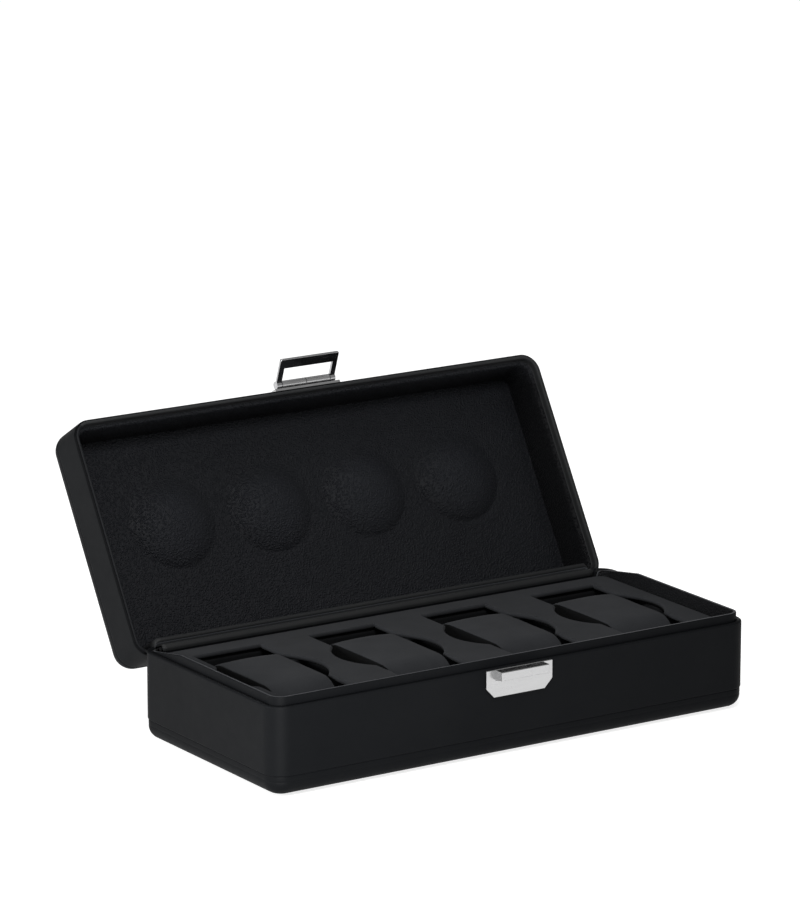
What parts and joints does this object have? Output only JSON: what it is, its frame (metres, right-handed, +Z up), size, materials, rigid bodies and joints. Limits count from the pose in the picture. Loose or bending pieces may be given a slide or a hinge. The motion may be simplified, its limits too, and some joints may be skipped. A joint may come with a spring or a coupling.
{
  "type": "watch box",
  "caption": "Long leather-covered watch box with a rounded hinged lid, padded lining, suede insert with lift-out pillows and a swing-over metal hasp.",
  "frame": {"origin": "centre of the flat underside", "axes": "+X along the front to the right, +Y to the hinge side, +Z up; the lid is stored standing open on its stop"},
  "size_m": [0.32, 0.2493, 0.1862],
  "materials": {
    "leather_outer": "smooth black leather, low sheen",
    "leather_lining": "black pebble-grain leather",
    "suede": "matt charcoal suede",
    "foam": "cut foam",
    "felt": "black felt",
    "board": "black-dyed fibre board",
    "nickel": "polished nickel",
    "steel_black": "black lacquered steel",
    "steel": "plain steel"
  },
  "bodies": {
    "base": {"base_board_floor": "board", "base_board_left": "board", "base_board_right": "board", "base_board_front": "board", "base_board_back": "board", "base_wall_leather": "leather_outer", "base_bottom_leather": "leather_outer", "base_sole": "felt", "base_liner_frame": "leather_lining", "insert_panel": "suede", "well_rail_front": "suede", "well_rail_back": "suede", "well_floor": "suede", "well_divider_1": "suede", "well_divider_2": "suede", "well_divider_3": "suede", "well_divider_4": "suede", "well_divider_5": "suede", "catch_plate": "nickel", "catch_nose": "nickel", "catch_studs": "steel", "catch_back_plate": "steel", "hinge_gusset": "leather_lining", "hinge_leaf_base": "steel_black", "hinge_pin": "steel", "hinge_screws_base": "steel"},
    "lid": {"lid_board": "board", "lid_leather": "leather_outer", "lid_lining_front": "leather_lining", "lid_lining_back": "leather_lining", "lid_lining_left": "leather_lining", "lid_lining_right": "leather_lining", "lid_lining_edge": "leather_lining", "lid_lining_skirt": "leather_lining", "lid_panel_board": "board", "lid_panel_leather": "leather_lining", "lid_dome_pads": "foam", "hinge_leaf_lid": "steel_black", "hinge_screws_lid": "steel", "hasp_plate": "nickel", "hasp_studs": "steel", "hasp_back_plate": "steel", "hasp_pin": "steel"},
    "hasp": {"hasp_frame": "nickel"},
    "pillow_1": {"pillow_1_cover": "suede", "pillow_1_foam": "foam"},
    "pillow_2": {"pillow_2_cover": "suede", "pillow_2_foam": "foam"},
    "pillow_3": {"pillow_3_cover": "suede", "pillow_3_foam": "foam"},
    "pillow_4": {"pillow_4_cover": "suede", "pillow_4_foam": "foam"}
  },
  "joints": [
    {"name": "lid_hinge", "type": "hinge", "parent": "base", "child": "lid", "pos_m": [0, 0.0695, 0.049], "axis": [-1, 0, 0], "range_deg": [-121, 0]},
    {"name": "hasp_pivot", "type": "hinge", "parent": "lid", "child": "hasp", "pos_m": [0, 0.14997, 0.16934], "axis": [-1, 0, 0], "range_deg": [-40, 70]},
    {"name": "pillow_1_lift", "type": "slide", "parent": "base", "child": "pillow_1", "axis": [0, 0, 1], "range_m": [0, 0.06]},
    {"name": "pillow_2_lift", "type": "slide", "parent": "base", "child": "pillow_2", "axis": [0, 0, 1], "range_m": [0, 0.06]},
    {"name": "pillow_3_lift", "type": "slide", "parent": "base", "child": "pillow_3", "axis": [0, 0, 1], "range_m": [0, 0.06]},
    {"name": "pillow_4_lift", "type": "slide", "parent": "base", "child": "pillow_4", "axis": [0, 0, 1], "range_m": [0, 0.06]}
  ]
}
